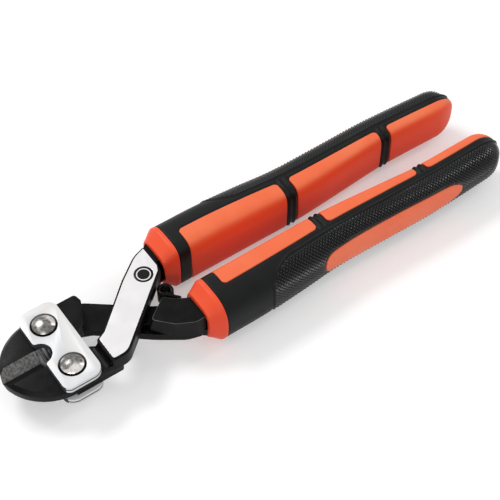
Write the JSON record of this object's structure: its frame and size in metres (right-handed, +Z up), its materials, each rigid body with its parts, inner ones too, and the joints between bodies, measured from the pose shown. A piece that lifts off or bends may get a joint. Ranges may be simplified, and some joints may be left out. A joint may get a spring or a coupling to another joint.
{
  "type": "bolt cutters",
  "caption": "Compact compound-action bolt cutters: short crossing jaws between riveted tie plates, toggle-linked to two cushioned straight grips.",
  "frame": {"origin": "middle of the tool in plan, on the surface that it lies on", "axes": "+X from the jaws to the ends of the grips, +Y towards the upper grip, +Z up, square to the flat mid-plane of the tool"},
  "size_m": [0.236, 0.0562, 0.0254],
  "materials": {
    "forged_steel": "black forged steel, satin",
    "zinc_plate": "bright zinc plate, satin",
    "chrome_strip": "bright chrome",
    "rivet_steel": "tumbled steel, semi-bright",
    "spring_steel": "black oxide",
    "black_print": "flat black",
    "black_rubber": "soft matt black",
    "orange_rubber": "soft matt orange"
  },
  "bodies": {
    "head": {"top_tie_plate": "zinc_plate", "bottom_tie_plate": "zinc_plate", "upper_jaw_rivet": "rivet_steel", "lower_jaw_rivet": "rivet_steel", "torsion_spring": "spring_steel"},
    "lower_jaw_lever": {"lower_jaw": "forged_steel", "top_cover": "chrome_strip", "top_badge": "black_print"},
    "upper_jaw_lever": {"upper_jaw": "forged_steel", "bottom_cover": "chrome_strip", "bottom_badge": "black_print"},
    "upper_handle": {"upper_handle_bar": "forged_steel", "upper_arm_pin": "rivet_steel", "upper_collar": "orange_rubber", "upper_grip_body": "black_rubber", "upper_textured_pad": "black_rubber", "upper_side_stripe": "orange_rubber", "upper_inner_panel_front": "orange_rubber", "upper_inner_panel_middle": "orange_rubber", "upper_inner_panel_rear": "orange_rubber"},
    "lower_handle": {"lower_handle_bar": "forged_steel", "lower_arm_pin": "rivet_steel", "lower_collar": "orange_rubber", "lower_grip_body": "black_rubber", "lower_textured_pad": "black_rubber", "lower_side_stripe": "orange_rubber", "lower_inner_panel_front": "orange_rubber", "lower_inner_panel_middle": "orange_rubber", "lower_inner_panel_rear": "orange_rubber", "centre_pin": "rivet_steel"}
  },
  "joints": [
    {"name": "lower_jaw_pivot", "type": "hinge", "parent": "head", "child": "lower_jaw_lever", "pos_m": [-0.09303, -0.011, 0.0127], "axis": [0, 0, 1], "range_deg": [0, 8]},
    {"name": "upper_jaw_pivot", "type": "hinge", "parent": "head", "child": "upper_jaw_lever", "pos_m": [-0.09303, 0.011, 0.0127], "axis": [0, 0, -1], "range_deg": [0, 8.1]},
    {"name": "upper_handle_pivot", "type": "hinge", "parent": "lower_jaw_lever", "child": "upper_handle", "pos_m": [-0.03603, 0.017, 0.0127], "axis": [0, 0, 1], "range_deg": [0, 11.5]},
    {"name": "lower_handle_pivot", "type": "hinge", "parent": "upper_jaw_lever", "child": "lower_handle", "pos_m": [-0.03603, -0.017, 0.0127], "axis": [0, 0, -1], "range_deg": [0, 11.5]}
  ],
  "couplings": [
    {"joint": "upper_jaw_pivot", "follows": "lower_jaw_pivot", "ratio": 1},
    {"joint": "upper_handle_pivot", "follows": "lower_jaw_pivot", "ratio": 1.42},
    {"joint": "lower_handle_pivot", "follows": "lower_jaw_pivot", "ratio": 1.42}
  ]
}
